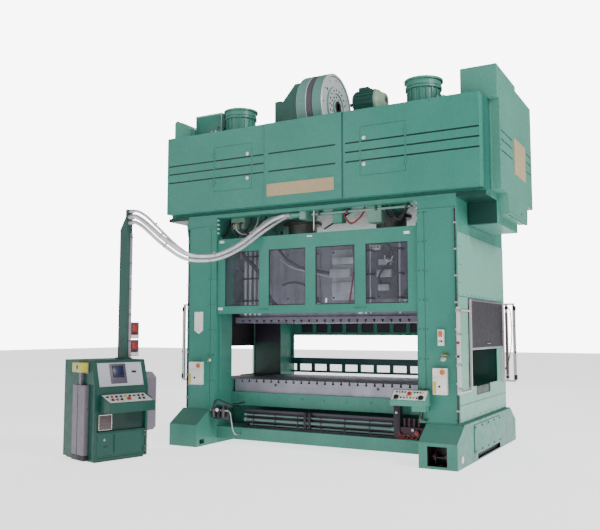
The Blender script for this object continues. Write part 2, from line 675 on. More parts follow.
# conduit routes as the solids have them, from the mast to the press, in metres
ROUTE_A = [
    (-2.570, -2.869, 3.866), (-2.493, -2.891, 3.866), (-2.400, -2.886, 3.830), (-2.300, -2.842, 3.752),
    (-2.200, -2.776, 3.648), (-2.110, -2.704, 3.545), (-2.020, -2.618, 3.448), (-1.935, -2.530, 3.362),
    (-1.855, -2.440, 3.286), (-1.775, -2.346, 3.240), (-1.695, -2.252, 3.222), (-1.610, -2.152, 3.222),
    (-1.500, -2.026, 3.244), (-1.390, -1.902, 3.300), (-1.270, -1.772, 3.390), (-1.150, -1.654, 3.502),
    (-1.050, -1.564, 3.610), (-0.950, -1.486, 3.714), (-0.840, -1.412, 3.812), (-0.720, -1.350, 3.892),
    (-0.600, -1.314, 3.936), (-0.530, -1.310, 3.945), (-0.480, -1.310, 3.945),
]
ROUTE_B = [
    (-2.570, -2.869, 3.770), (-2.500, -2.889, 3.770), (-2.420, -2.894, 3.744), (-2.330, -2.868, 3.684),
    (-2.240, -2.812, 3.590), (-2.150, -2.740, 3.484), (-2.060, -2.656, 3.384), (-1.975, -2.570, 3.296),
    (-1.895, -2.485, 3.222), (-1.815, -2.393, 3.170), (-1.735, -2.299, 3.150), (-1.655, -2.205, 3.146),
    (-1.560, -2.094, 3.156), (-1.460, -1.981, 3.186), (-1.350, -1.858, 3.246), (-1.240, -1.742, 3.330),
    (-1.130, -1.636, 3.430), (-1.030, -1.545, 3.536), (-0.935, -1.452, 3.640), (-0.845, -1.356, 3.738),
    (-0.760, -1.266, 3.824), (-0.680, -1.196, 3.894), (-0.610, -1.158, 3.934), (-0.560, -1.150, 3.945),
    (-0.510, -1.150, 3.945),
]
ROUTE_C = [
    (-2.570, -2.869, 3.956), (-2.510, -2.886, 3.956), (-2.430, -2.892, 3.944), (-2.345, -2.864, 3.902),
    (-2.262, -2.810, 3.828), (-2.190, -2.744, 3.735), (-2.122, -2.668, 3.640), (-2.060, -2.592, 3.546),
    (-1.994, -2.510, 3.450), (-1.924, -2.426, 3.362), (-1.872, -2.362, 3.302), (-1.821, -2.300, 3.258),
    (-1.741, -2.206, 3.236), (-1.656, -2.106, 3.234), (-1.548, -1.980, 3.254), (-1.438, -1.856, 3.308),
    (-1.318, -1.726, 3.398), (-1.200, -1.606, 3.512), (-1.095, -1.512, 3.632), (-1.000, -1.424, 3.750),
    (-0.920, -1.346, 3.852), (-0.845, -1.278, 3.922), (-0.790, -1.238, 3.950), (-0.740, -1.228, 3.955),
    (-0.690, -1.228, 3.955),
]


def conduit(name, node, route, radius, ties):
    """One hanging conduit with the clamps on it and the nuts at its ends."""
    bands = Build(name + "_clamps", "frame", "dark_steel")
    for i in ties:
        a, c = Vector(route[i]), Vector(route[i + 1])
        way = (c - a).normalized()
        outer = radius + 0.004
        bands.turned(a, way, [(0, radius), (0, outer), (0.028, outer), (0.028, radius)], "galvanised", 28)
        bands.box((-0.012, -0.012, 0), (0.012, 0.012, 0.028), "galvanised", 0.003,
                  Matrix.Translation(a) @ basis(way) @ Matrix.Translation((0, radius + 0.008, 0)))
    nut = ((0, 0.012), (0.022, 0.012), (0.026, 0.008), (0.045, 0.006), (0.047, 0))
    for end, after in ((route[0], route[1]), (route[-1], route[-2])):
        bands.turned(end, Vector(after) - Vector(end), [(z, radius + r) for z, r in nut], "galvanised", 8,
                     smooth=False)
    bands = bands.finish()
    curve = bpy.data.curves.new(name, "CURVE")
    curve.dimensions = "3D"
    curve.bevel_depth = radius
    curve.bevel_resolution = 5
    curve.resolution_u = 6
    curve.use_fill_caps = True
    spline = curve.splines.new("BEZIER")
    spline.bezier_points.add(len(route) - 1)
    for p, co in zip(spline.bezier_points, route):
        p.co = co
        p.handle_left_type = p.handle_right_type = "AUTO"
    obj = bpy.data.objects.new(name, curve)
    bpy.context.scene.collection.objects.link(obj)
    curve.materials.append(M["jacket"])
    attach(obj, "frame")
    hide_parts(node)


conduit("conduit_large", "conduit_a", ROUTE_A, 0.0375, (5, 12, 16))
conduit("conduit_middle", "conduit_b", ROUTE_B, 0.030, (6, 12, 16))
conduit("conduit_small", "conduit_c", ROUTE_C, 0.0225, (5, 14, 17))


# ---------- places taken from the frame ----------

up_low, up_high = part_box("right_upright")
column_in, column_out, column_y, crown_under = up_low.x, *up_high
sheet = 0.008
face_y = -column_y - sheet
side_x = column_out + 0.010
crown_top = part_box("motor_base")[0].z
crown_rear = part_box("crown")[1].y
middle_low, middle_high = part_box("crown_middle_cover")
cover_y = middle_low.y + 0.012
guard_low, guard_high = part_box("front_guard")
pane_low, pane_high = (corner.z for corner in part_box("guard_windows"))
side_plate_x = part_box("blank_plates")[1].x
bolster_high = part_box("bolster")[1]
foot_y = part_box("bed")[1].y
foot_in = column_in + 0.113
foot_out = column_out + 0.077


def rivets(b, places, axis, size=0.007, look="steel"):
    for p in places:
        head = [(0, size), (size * 0.3, size * 0.9), (size * 0.45, size * 0.4), (size * 0.45, 0)]
        b.turned(p, axis, head, look, 14)


# ---------- uprights and bed ----------

def upright_fasteners():
    b = Build("upright_cover_screws", "frame", "dark_steel")
    size, edge = 0.010, 1.375
    for s in SIDES:
        across = [s * x for x in (
            column_in + 0.028, column_in + 0.092, column_in + 0.148, column_out - 0.03)]
        for y, out in ((face_y, FRONT), (-face_y, REAR)):
            b.screws(grid(across, y, spread(0.66, 3.79, 0.45)), out, size)
        for ys, zs in (
                (spread(-edge, edge, 0.23), (2.53, 3.435)), (spread(-edge, edge, 0.34), 0.665),
                ((-edge, -1.255, edge), spread(2.7, 3.25, 0.28)),
                ((-edge, -0.96, edge), spread(1.2, 2.3, 0.28))):
            b.screws(grid(s * side_x, ys, zs), (s, 0, 0), size)
    b.finish()


def upright_seams():
    """Joint lines and edge trims of the sheet covers, and the clamped pipe down each front edge."""
    b = Build("upright_cover_trims", "frame", "light_green_paint")
    for s in SIDES:
        for z in (0.875, 2.495):
            b.box((s * side_x, -1.40, z - 0.005), (s * (side_x + 0.003), 1.40, z + 0.005), "dark", 0.001)
        for e in SIDES:
            b.box((s * (column_in + 0.02), e * column_y, 3.822),
                  (s * (column_out - 0.01), e * (column_y + sheet + 0.004), 3.84), "frame")
        x, y = s * (column_out - 0.012), face_y - 0.011
        b.rod((x, y, 0.62), (x, y, 3.82), 0.010, "black")
        for z in spread(0.8, 3.6, 0.4):
            b.box((x - 0.022, y - 0.012, z - 0.012), (x + 0.022, face_y, z + 0.012), "galvanised")
    b.finish()


def bed_details():
    b = Build("bed_weld_seams", "frame", "green_paint")
    for s, e in CORNERS:
        y = e * (column_y + 0.010)
        b.tube([(s * (foot_in + 0.01), y, 0.604), (s * (foot_out - 0.01), y, 0.604)], 0.007, "bed", 8)
        for x in (foot_in + 0.006, foot_out - 0.006):
            ends = [(s * x, e * (foot_y - 0.004), 0.37), (s * x, e * (column_y + 0.012), 0.6)]
            b.tube(ends, 0.006, "bed", 8)
    for y, z in itertools.product((-0.65, 0.65), (0.297, 0.648)):
        b.tube([(-1.98, y, z), (1.98, y, z)], 0.009, "bed", 8)
    b.finish()
    b = Build("bed_bolts", "frame", "steel")
    for e in SIDES:
        b.bolts(grid(spread(-1.72, 1.72, 0.43), e * (bolster_high.y + 0.036), 0.80), (0, e, 0), 0.016, "bed")
    for s in SIDES:
        # dark strip that closes the slot under the side plate, sharp-edged on the left
        b.box((s * (foot_out - 0.056), -0.74, 0.004), (s * (foot_out - 0.048), 0.64, 0.108), "rubber",
              0.002 if s > 0 else 0)
        # round spot near the floor on the foot's side, and the bolts of its side plate
        b.turned((s * foot_out, -1.55, 0.123), (s, 0, 0), [
            (0, 0.05), (0.002, 0.05), (0.003, 0.046), (0.003, 0)],
                 "white", 32)
        b.bolts(grid(s * (foot_out + 0.012), spread(-0.90, 0.58, 0.37), (0.155, 0.515)), (s, 0, 0), 0.012)
        # levelling bolt heads in each pocket's mouth
        b.bolts(grid((s * 2.175, s * 2.36), (-1.64, 1.64), 0.161), UP, 0.026, "dull_red")
    b.finish()


def bolster_details():
    b = Build("bolster_keeper_bolts", "frame", "steel")
    edge = bolster_high.x - 0.03
    for p in grid((-edge, edge), spread(-0.72, 0.72, 0.36), bolster_high.z - 0.012):
        b.turned(p, UP, [
            (0, 0.018), (0.0125, 0.018), (0.0135, 0.016), (0.0135, 0.010), (0.004, 0.009), (0.004, 0)],
            "screw", 20)
    for e in SIDES:
        for p in grid((-0.975, 0.975), e * bolster_high.y, 1.026):
            b.turned(p, (0, e, 0), [(-0.01, 0.018), (0, 0.026), (0.002, 0.026), (0.002, 0.018)], "screw")
    b.finish()


# ---------- crown ----------

def crown_fasteners():
    b = Build("crown_cover_screws", "frame", "dark_steel")
    edges = (middle_low.z + 0.03, middle_high.z - 0.03)
    for node, y in (
            ("crown_left_cover", cover_y), ("crown_right_cover", cover_y),
            ("crown_middle_cover", cover_y - 0.012)):
        low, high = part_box(node)
        b.screws(grid(spread(low.x + 0.05, high.x - 0.05, 0.36), y, edges), FRONT, 0.008, "crown")
    # shadow joints beside the middle cover
    b.box((0.667, cover_y - 0.002, middle_low.z), (0.690, cover_y, middle_high.z), "dark", 0.001)
    b.box((-0.806, cover_y - 0.001, middle_low.z), (-0.802, cover_y, middle_high.z), "dark", 0.0004)
    for s in SIDES:
        b.screws(grid(s * 2.91, -1.44, spread(4.2, 5.4, 0.3)), (s, 0, 0), 0.009, "crown")
        b.bolts(grid([s * x for x in spread(0.3, 2.8, 0.5)], crown_rear, (4.2, 5.4)), REAR, 0.014)
    # rear cover plates of the crown box, bolted on over its openings
    plate_y = crown_rear + 0.012
    for x0, x1 in ((-2.3, -1.25), (-1.05, -0.1), (0.1, 1.05), (1.25, 2.3)):
        b.box((x0, crown_rear, 4.45), (x1, plate_y, 5.2), "crown", 0.003)
        b.bolts(grid(spread(x0 + 0.05, x1 - 0.05, 0.2), plate_y, (4.49, 5.16)), REAR, 0.010)
        b.bolts(grid((x0 + 0.05, x1 - 0.05), plate_y, (4.66, 4.83, 5.0)), REAR, 0.010)
    b.finish()


def crown_top_details():
    """Lifting eyes, bolts round the tie rods and the pipes that lie on the crown."""
    b = Build("crown_top_fittings", "frame", "dark_steel")
    z = crown_top
    for x, y in itertools.product((-1.2, 1.2), (-1.05, 1.05)):
        b.turned((x, y, z), UP, [(0, 0.05), (0.012, 0.05), (0.016, 0.036), (0.03, 0.03), (0.03, 0)], "screw")
        b.tube(arc(x, y, z + 0.065, 0.04, 0.045, math.tau, 20), 0.011, "screw", 10)
    for s, e in CORNERS:
        b.bolts([(s * 2.185 + dx, e * 1.10 + dy, z) for dx, dy in ring(6, 0.175)], UP, 0.013)
    for y, r in ((-1.20, 0.017), (-1.15, 0.012)):
        b.hose([(x, y, z + r) for x in (-1.4, -0.6, 0.7, 1.4)], r, "pipe_green", steps=4)
        for x in spread(-1.3, 1.3, 0.65):
            b.box((x - 0.015, y - r - 0.012, z), (x + 0.015, y + r + 0.012, z + 2 * r + 0.004),
                  "screw", 0.003)
    b.finish()


def hatch_latches():
    y = cover_y - 0.008
    for side, x in (("left", -1.150), ("right", 1.055)):
        b = Build(side + "_hatch_latches", side + "_hatch_door", "galvanised")
        for z in (4.622, 5.050):
            b.turned((x, y, z), FRONT, [
                (0, 0.031), (0.002, 0.031), (0.004, 0.028), (0.004, 0.020), (0.006, 0.018), (0.006, 0)],
                "white", 32)
            b.box((x - 0.014, y - 0.0075, z - 0.003), (x + 0.014, y - 0.0058, z + 0.003), "screw", 0.0005)
        b.finish()


def plate_screws():
    b = Build("plate_rivets", "frame", "steel")
    rivets(b, grid((-0.729, 0.505), cover_y - 0.018, (4.275, 4.45)), FRONT)
    rivets(b, grid(side_plate_x - 0.0028, (-0.18, 0.58), (4.52, 5.08)), RIGHT, 0.006)
    b.finish()


def gear_cover_details():
    b = Build("gear_cover_flanges", "frame", "green_paint")
    cover_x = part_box("right_gear_cover")[1].x
    for s, top in ((-1, 5.5), (1, 5.96)):
        x, out = s * cover_x, (s, 0, 0)
        b.screws(grid(x, -1.085, spread(4.2, top, 0.28)), out, 0.010)
        b.screws(grid(x, 1.125, spread(4.2, top - 0.1, 0.28)), out, 0.010)
        b.screws(grid(x, spread(-0.60, 0.66, 0.21), 3.83), out, 0.010)
        # flange where the housing meets the crown
        for y in (-1.150, 1.17):
            b.box((s * 2.96, y, 4.12), (s * 2.985, y + 0.02, 5.48), "light", 0.003)
        # oil sight glass low on the lobe
        b.turned((x, 0.25, 3.90), out, [
            (-0.004, 0.034), (0.005, 0.034), (0.007, 0.030), (0.006, 0.024), (0.004, 0)], "brass", 28)
    for y in (-0.95, -0.25):
        b.tube(arc(2.83, y, 6.01, 0.03, 0.03, math.pi, 12), 0.007, "screw", 10)
    b.finish()


def cabinet_details():
    """Door, hinges and louvres of the cabinet that stands on the crown."""
    low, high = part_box("crown_cabinet")
    b = Build("crown_cabinet_fittings", "frame", "green_paint")
    y = low.y
    b.box((low.x + 0.02, y - 0.010, low.z + 0.04), (high.x - 0.02, y, high.z - 0.03), "crown", 0.004)
    for z in (low.z + 0.12, high.z - 0.14):
        b.rod((low.x + 0.03, y - 0.016, z - 0.03), (low.x + 0.03, y - 0.016, z + 0.03), 0.008, "screw")
    b.turned((high.x - 0.06, y - 0.010, low.z + 0.30), FRONT, [
        (0, 0.022), (0.006, 0.021), (0.008, 0.012), (0.012, 0.01), (0.012, 0)], "button_black")
    for x, out in ((high.x, 0.007), (low.x, -0.007)):
        for k in range(5):
            z = low.z + 0.14 + 0.04 * k
            b.box((x, y + 0.07, z), (x + out, y + 0.21, z + 0.012), "crown")
    corners = grid((low.x + 0.02, low.x + 0.58), high.y, (low.z + 0.05, low.z + 0.54))
    rivets(b, corners, REAR, 0.008, "screw")
    b.finish()


def drum_details():
    """Lid bolts, lids, bands, foot bolts and air pipes of the counterbalance cylinders."""
    b = Build("drum_fittings", "frame", "dark_steel")
    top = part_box("air_cylinders")[1].z
    for s, e in CORNERS:
        x, y = s * 1.80, e * 0.78
        b.bolts([(x + dx, y + dy, top) for dx, dy in ring(20, 0.292, math.pi / 20)], UP, 0.011, washer=False)
        b.turned((x, y, top), UP, [
            (0, 0.21), (0.008, 0.21), (0.012, 0.2), (0.012, 0.09), (0.03, 0.07), (0.032, 0)], "light", 40)
        b.turned((x, y, 5.950), UP, [
            (0, 0.2905), (0, 0.3015), (0.009, 0.3015), (0.009, 0.2905)], "black", 48)
        foot = [(x + dx, y + dy, crown_top + 0.03) for dx, dy in ring(18, 0.278, math.pi / 18)]
        b.bolts(foot, UP, 0.009, washer=False)
        b.hose([(x, y + dy, top + dz) for dy, dz in (
            (0.02, 0.02), (0.12, 0.055), (0.30, 0.04), (0.37, -0.08))]
               + [(x, y + 0.37, crown_top + 0.02)], 0.013, "steel")
        b.turned((x, y + 0.37, crown_top), UP, [
            (0, 0.032), (0.012, 0.032), (0.014, 0.022), (0.04, 0.022), (0.042, 0.014)],
            "screw", 6, smooth=False)
    b.finish()


def flywheel_details():
    b = Build("flywheel_hub_bolts", "flywheel_unit", "steel")
    z = 6.136
    for n, r, x, size in ((12, 0.205, -0.179, 0.013), (18, 0.326, -0.153, 0.013), (12, 0.52, -0.187, 0.010)):
        b.bolts([(x, dy, z + dz) for dy, dz in ring(n, r)], RIGHT, size)
    b.turned((-0.146, 0, z), RIGHT, [(0, 0.125), (0.006, 0.125), (0.010, 0.118), (0.010, 0.072), (0, 0.070)],
             "screw", 36)
    for dy, dz in ring(3, 0.45, 0.4):
        b.turned((-0.187, dy, z + dz), RIGHT, [(0, 0.03), (0.001, 0.03), (0.002, 0.026), (0.002, 0)], "dark")
    b.finish()


def motor_details():
    b = Build("motor_fittings", "frame", "dark_steel")
    x0, y, z = -0.16, 0.8, 6.415
    slots = 18
    for k in range(slots):
        b.box((0.494, -0.006, 0.03), (0.501, 0.006, 0.115), "black", 0.001,
              Matrix.Translation((0, y, z)) @ Matrix.Rotation(math.tau * k / slots, 4, "X"))
    b.turned((0.502, y, z), RIGHT, [(-0.03, 0.03), (0, 0.03), (0.004, 0.022), (0.004, 0)], "screw", 20)
    b.screws(grid((x0 + 0.14, x0 + 0.30), (y - 0.07, y + 0.07), z + 0.295), UP, 0.008)
    b.tube(arc(x0 + 0.36, y, z + 0.232, 0.03, 0.035, math.pi, 14), 0.008, "screw", 10)
    b.bolts(grid((x0 + 0.105, x0 + 0.435), (y - 0.215, y + 0.215), 6.165), UP, 0.011)
    # supply pipe from the terminal box down to the crown
    b.hose([(x0 + 0.22, y + dy, z + dz) for dy, dz in (
        (0.09, 0.25), (0.20, 0.25), (0.29, 0.16), (0.31, -0.2))]
           + [(x0 + 0.22, y + 0.31, crown_top)], 0.016)
    b.finish()


def guard_hood_details():
    b = Build("gear_guard_bolts", "frame", "dark_steel")
    hood_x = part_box("gear_guard")[0].x
    b.bolts(grid(hood_x, (-0.19, 0.19), (5.56, 5.75, 5.95, 6.15, 6.33)), LEFT, 0.010)
    b.bolts(grid(-1.15, spread(-0.32, 1.16, 0.25), crown_top), UP, 0.010)
    b.bolts(grid(-0.812, (-0.22, 0.22), (5.6, 5.85, 6.1, 6.35)), RIGHT, 0.009)
    b.box((hood_x - 0.006, -0.10, 5.70), (hood_x, 0.10, 5.98), "dark", 0.003)
    b.finish()


# ---------- guards ----------

def guard_trims():
    b = Build("front_guard_gaskets", "front_door", "belt_rubber")
    y, w, pitch, pane_w = guard_low.y, 0.014, 0.9025, 0.7125
    for i in range(4):
        x0 = guard_low.x + 0.16 + i * pitch
        x1 = x0 + pane_w
        b.strips(((x0, x0 + w, pane_low, pane_high), (x1 - w, x1, pane_low, pane_high),
                  (x0 + w, x1 - w, pane_low, pane_low + w), (x0 + w, x1 - w, pane_high - w, pane_high)),
                 y + 0.012, y + 0.022, "rubber")
        rows = (pane_low - 0.035, pane_high + 0.035)
        b.screws(grid(spread(x0 + 0.05, x1 - 0.05, 0.2), y, rows), FRONT, 0.006, "crown")
    b.finish()
    b = Build("front_guard_fittings", "front_door", "white_paint")
    top = guard_high.z
    b.strips(((-0.06, -0.008, top - 0.062, top - 0.036), (-0.004, 0.036, top - 0.062, top - 0.036)),
             y - 0.002, y, "white", 0.001)
    # white brackets at three corners, and a small limit-switch head
    for x, z in ((-1.78, top - 0.05), (1.70, top - 0.10), (-1.80, guard_low.z + 0.09)):
        b.box((x - 0.05, y - 0.006, z - 0.022), (x + 0.05, y, z + 0.022), "white", 0.003)
        b.screws(grid((x - 0.035, x + 0.035), y - 0.006, z), FRONT, 0.006)
    b.box((0.28, y - 0.006, guard_low.z + 0.165), (0.31, y + 0.004, guard_low.z + 0.235), "white")
    for x in (-0.9, 0.9):
        b.grip((x, y, guard_low.z + 0.06), (0.09, 0, 0), (0, -0.022, 0), 0.007, "frame")
    b.finish()


def rear_guard_trims():
    b = Build("rear_guard_fittings", "rear_door", "dark_steel")
    low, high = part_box("rear_guard")
    rows = (low.z + 0.03, high.z - 0.05, high.z - 0.19)
    b.screws(grid(spread(low.x + 0.06, high.x - 0.06, 0.29), high.y, rows), REAR, 0.007)
    for x in (-1.2, 1.2):
        b.grip((x, high.y, high.z - 0.12), (0.09, 0, 0), (0, 0.021, 0), 0.007, "frame")
    b.finish()


def side_guard_trims():
    thick = 0.005
    for s, side in ((1, "right_side"), (-1, "left_side")):
        low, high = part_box(side + "_guard")
        b = Build(side + "_guard_frame", side + "_door", "galvanised")
        inner = high.x if s > 0 else low.x
        outer = inner + s * thick
        ya, yb = low.y + 0.035, high.y - 0.035
        b.box((inner, ya, low.z), (outer, yb, low.z + 0.035), "galvanised")
        b.box((inner, ya, high.z - 0.022), (outer, yb, high.z), "grey")
        for y in (ya, yb - 0.016):
            b.box((inner, y, low.z + 0.035), (outer, y + 0.016, high.z - 0.022), "grey")
        rows = (low.z + 0.017, high.z - 0.015)
        b.screws(grid(outer, spread(low.y + 0.1, high.y - 0.1, 0.3), rows), (s, 0, 0), 0.006)
        middle = (low.y + high.y) / 2
        b.grip((inner, middle, low.z + 0.09), (0, 0.08, 0), (s * 0.016, 0, 0), 0.006, "galvanised")
        b.finish()


def side_rail_details():
    """Clamps, knobs and cable on the guard posts, the same on both sides of the press."""
    b = Build("side_post_fittings", "frame", "galvanised")
    front_x, front_y, rear_y = 2.520, -1.478, 1.236
    for turn in (0, math.pi):
        m = Matrix.Rotation(turn, 4, "Z")

        def rod(p, way, r, look):
            b.rod(m @ Vector(p), m @ (Vector(p) + Vector(way)), r, look)

        for z in (1.10, 1.45, 1.90, 2.25):
            b.box((2.489, -1.506, z), (2.551, -1.450, z + 0.05), "galvanised", 0.003, m)
            rod((2.551, front_y, z + 0.025), (0.012, 0, 0), 0.010, "screw")
        rod((front_x, front_y, 1.60), (0, -0.052, 0), 0.018, "black")
        rod((front_x, -1.507, 1.80), (0, -0.005, 0), 0.022, "dull_red")
        # spring box and its lid at the rear frame
        for z in (1.14, 2.36):
            rod((2.583, rear_y, z), (0, 0, 0.05), 0.031, "black")
            rod((2.726, rear_y, z - 0.02), (0, 0, 0.08), 0.030, "black")
        b.box((2.709, 1.219, 1.10), (2.743, 1.253, 2.42), "galvanised", 0.005, m)
        rod((2.583, rear_y, 1.20), (0, 0, 1.10), 0.027, "brown")
        rod((2.724, rear_y, 1.60), (0.020, 0, 0), 0.024, "button_black")
        cable = smooth_path([
            (2.60, 1.20, 2.42), (2.67, 1.17, 2.30), (2.69, 1.15, 1.9), (2.64, 1.14, 1.5),
            (2.565, 1.15, 1.30)])
        b.tube([m @ p for p in cable], 0.009, "rubber")
    b.finish()


# ---------- what shows behind the front guard ----------

def slide_front_details():
    """Oil pipes, hoses and stepped plates on the slide's front, seen through the guard."""
    b = Build("slide_front_pipes", "slide_unit", "dark_steel")
    y = -0.78
    # stepped machined pads, bolted at their corners where they are thin
    for x0, x1, z0, z1, t, look in (
            (0.12, 0.72, 2.50, 3.36, 0.04, "pad"), (0.16, 0.58, 2.62, 2.80, 0.14, "pad"),
            (0.14, 0.52, 2.88, 3.02, 0.18, "pad"), (0.18, 0.60, 3.10, 3.22, 0.15, "pad"),
            (0.96, 1.32, 2.50, 3.36, 0.05, "guides"), (1.00, 1.26, 2.86, 2.98, 0.17, "pad"),
            (1.02, 1.24, 3.06, 3.16, 0.14, "pad"), (1.00, 1.20, 2.64, 2.74, 0.12, "pad"),
            (-0.78, -0.12, 2.50, 3.36, 0.04, "iron"), (-1.60, -1.10, 2.45, 3.40, 0.04, "iron")):
        b.box((x0, y - t, z0), (x1, y, z1), look, 0.012)
        if t < 0.1:
            b.bolts(grid((x0 + 0.03, x1 - 0.03), y - t, (z0 + 0.04, z1 - 0.04)), FRONT, 0.013)
    # standing pipes
    pipe_y = y - 0.14
    for x, r in (
            (-1.58, 0.026), (-1.48, 0.026), (-1.38, 0.020), (-1.28, 0.034), (0.70, 0.040), (0.80, 0.020),
            (0.88, 0.012), (1.40, 0.02)):
        b.tube([(x, pipe_y, 2.26), (x, pipe_y, 3.46)], r, "pad")
        for z in (2.5, 2.9, 3.3):
            b.box((x - r - 0.012, pipe_y - r - 0.004, z), (x + r + 0.012, y, z + 0.03), "screw", 0.003)
    # hoses that move with the slide; the middle number of a point is its distance in front of the slide
    for r, look, *points in (
            (0.036, "rubber", (-1.56, 0.30, 3.46), (-1.46, 0.34, 3.28), (-1.30, 0.36, 3.16),
             (-1.14, 0.34, 2.95), (-1.04, 0.30, 2.70), (-0.98, 0.22, 2.50), (-0.94, 0.04, 2.40)),
            (0.026, "rubber", (-0.84, 0.22, 3.42), (-0.64, 0.26, 3.22), (-0.40, 0.27, 3.08),
             (-0.16, 0.25, 3.02), (0.02, 0.18, 2.98), (0.10, 0.04, 2.97)),
            (0.014, "pad", (-0.84, 0.16, 3.24), (-0.62, 0.20, 3.10), (-0.36, 0.22, 3.02),
             (-0.10, 0.20, 2.96), (0.08, 0.06, 2.90)),
            (0.020, "rubber", (-0.80, 0.14, 2.78), (-0.60, 0.18, 2.82), (-0.36, 0.18, 2.78),
             (-0.20, 0.14, 2.62), (-0.12, 0.06, 2.46)),
            (0.013, "dull_red", (0.60, 0.22, 3.44), (0.64, 0.26, 3.10), (0.61, 0.26, 2.80),
             (0.55, 0.22, 2.55), (0.45, 0.04, 2.46)),
            (0.018, "rubber", (1.20, 0.20, 3.44), (1.30, 0.24, 3.24), (1.26, 0.26, 3.08),
             (1.14, 0.26, 2.96), (1.06, 0.22, 2.84), (1.02, 0.05, 2.78)),
            (0.022, "rubber", (1.52, 0.10, 3.44), (1.62, 0.16, 3.15), (1.60, 0.16, 2.8),
             (1.50, 0.10, 2.6), (1.46, 0.02, 2.58))):
        b.hose([(x, y - off, z) for x, off, z in points], r, look)
    # small white bracket high up on the right
    b.hose([(1.20, y - 0.30, 3.20), (1.22, y - 0.31, 3.12), (1.30, y - 0.31, 3.10), (1.34, y - 0.30, 3.18)],
           0.010, "white", 10, 4)
    b.rod((1.24, y, 3.12), (1.24, y - 0.31, 3.12), 0.012, "white")
    # distributor blocks with three brass unions each
    for x, z in ((-1.22, 3.38), (-0.2, 2.42), (0.95, 3.36), (1.5, 2.45)):
        b.box((x - 0.09, y - 0.11, z - 0.04), (x + 0.09, y, z + 0.04), "white", 0.005)
        for dx in (-0.055, 0, 0.055):
            b.union((x + dx, y - 0.11, z), FRONT, 0.014, 0.014, 0.009, 0.03)
    b.finish()


def undercrown_details():
    """Valve blocks, hoses and pipes in the gap between the crown and the front guard."""
    b = Build("undercrown_hoses", "frame", "belt_rubber")
    top = crown_under
    # pale valve block at the left with its looping hoses
    b.box((-1.70, -1.22, top - 0.20), (-1.42, -1.06, top), "pipe_green", 0.006)
    for k in range(3):
        x, wide = -1.64 + 0.09 * k, 0.06 * k
        b.union((x, -1.22, top - 0.10), FRONT, 0.024, 0.02, 0.016, 0.04)
        b.hose([(x, -1.25, top - 0.10), (x + 0.02, -1.32, top - 0.12), (x + 0.05, -1.33, top - 0.24),
                (x + 0.12 + 0.05 * k, -1.28, top - 0.31), (x + 0.26 + wide, -1.22, top - 0.24),
                (x + 0.32 + wide, -1.18, top - 0.10), (x + 0.33 + wide, -1.16, top)],
               0.015, "galvanised" if k == 1 else "rubber")
    # green pipes along the crown, and the boxes on it
    for y, z, r in ((-1.24, top - 0.05, 0.022), (-1.16, top - 0.04, 0.016)):
        b.tube([(-0.05, y, z), (1.72, y, z)], r, "pipe_green")
        for x in spread(0.1, 1.65, 0.5):
            b.box((x - 0.02, y - r - 0.01, z - r - 0.004), (x + 0.02, y + r + 0.01, top), "screw", 0.003)
    b.box((0.98, -1.25, top - 0.27), (1.22, -1.08, top), "pipe_green", 0.006)
    b.box((0.32, -1.20, top - 0.22), (0.50, -1.04, top), "light", 0.006)
    b.rod((0.02, -1.30, top - 0.34), (0.02, -1.30, top), 0.009, "white")
    b.hose([(0.56, -1.20, top), (0.58, -1.26, top - 0.14), (0.70, -1.28, top - 0.26),
            (0.84, -1.26, top - 0.18),
            (0.90, -1.2, top - 0.06), (0.90, -1.18, top)], 0.016, "dull_red")
    b.tube([(0.14, -1.15, top - 0.30), (0.62, -1.05, top - 0.02)], 0.014, "black")
    for k in range(2):
        b.hose([(1.30 + 0.1 * k, -1.18, top), (1.32 + 0.1 * k, -1.24, top - 0.16),
                (1.46 + 0.08 * k, -1.26, top - 0.26), (1.62, -1.24, top - 0.14), (1.68, -1.2, top)], 0.017)
    # fittings down the inner edge of each column
    for x, z in itertools.product((0.001 - column_in, column_in - 0.001), spread(3.72, 3.95, 0.08)):
        b.box((x - 0.015, -1.40, z - 0.014), (x + 0.015, -1.355, z + 0.014), "white", 0.003)
    # cable on the left of the guard
    b.hose([(-1.86, -1.3, 3.66), (-1.85, -1.2, 3.70), (-1.80, -1.15, 3.85), (-1.78, -1.12, top)], 0.018)
    b.finish()


# ---------- boxes on the uprights ----------

